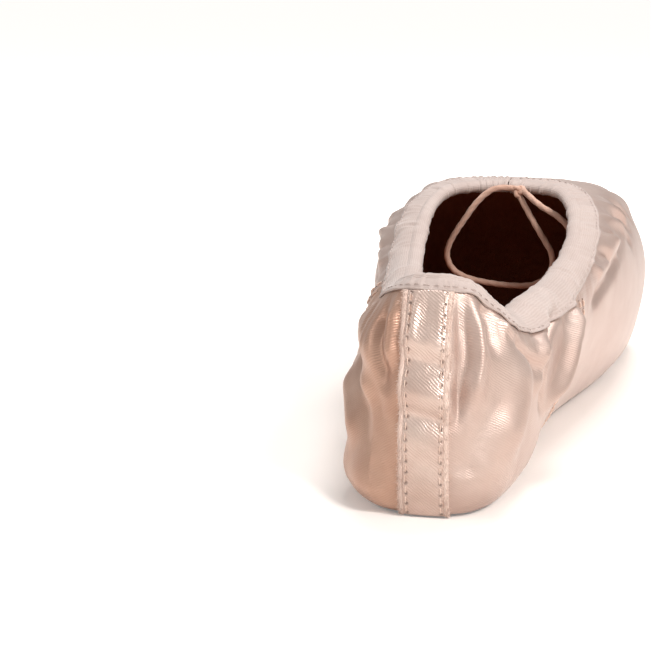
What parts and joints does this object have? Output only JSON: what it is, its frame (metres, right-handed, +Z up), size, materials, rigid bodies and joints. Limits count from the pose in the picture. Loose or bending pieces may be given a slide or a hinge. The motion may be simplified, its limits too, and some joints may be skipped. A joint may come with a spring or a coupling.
{
  "type": "ballet slipper",
  "caption": "Satin pointe slipper with a hard rounded toe box, drawstring casing round the opening, stitched heel strip and flat leather sole.",
  "frame": {"origin": "on the floor, under the middle of the slipper's length and width", "axes": "+Y toward the toe, +X to the wearer's right, +Z up"},
  "size_m": [0.0794, 0.2347, 0.0638],
  "materials": {
    "satin": "blush pink satin with a soft sheen",
    "heel_tape": "satin ribbon, twill side out",
    "casing": "ribbed cotton tape, matt",
    "lining": "plain cotton drill, matt",
    "toe_paste": "pasted hessian and card, hard",
    "sole_leather": "buffed suede-finished sole leather",
    "shank_board": "hard leatherboard",
    "insole_card": "pressed fibre board",
    "felt": "wool felt",
    "sock_cloth": "brushed cotton",
    "brass": "brass tack",
    "thread": "polyester thread",
    "cord": "cotton drawstring"
  },
  "bodies": {
    "forefoot": {"vamp_satin": "satin", "vamp_lining": "lining", "toe_box": "toe_paste", "outsole": "sole_leather", "insole_board": "insole_card", "shank": "shank_board", "arch_filler": "felt", "sock_liner": "sock_cloth", "binding": "casing", "binding_stitching": "thread", "drawstring": "cord", "drawstring_knot": "cord", "drawstring_loop": "cord", "drawstring_end": "cord", "side_seam_stitching_right_vamp": "thread", "side_seam_stitching_left_vamp": "thread"},
    "heel": {"quarter_satin_right": "satin", "quarter_satin_left": "satin", "quarter_lining_right": "lining", "quarter_lining_left": "lining", "heel_strip": "heel_tape", "heel_strip_fold_right": "heel_tape", "heel_strip_fold_left": "heel_tape", "heel_strip_stitching_right": "thread", "heel_strip_stitching_left": "thread", "side_seam_stitching_right_quarter": "thread", "side_seam_stitching_left_quarter": "thread", "shank_nail": "brass", "heel_pad": "sock_cloth"}
  },
  "joints": [
    {"name": "arch_flex", "type": "hinge", "parent": "forefoot", "child": "heel", "pos_m": [0, -0.031, 0], "axis": [1, 0, 0], "range_deg": [0, 30], "stiffness_Nm_per_rad": 1.5, "deforming": ["outsole", "insole_board", "shank", "arch_filler", "sock_liner", "binding", "binding_stitching", "drawstring"]}
  ]
}
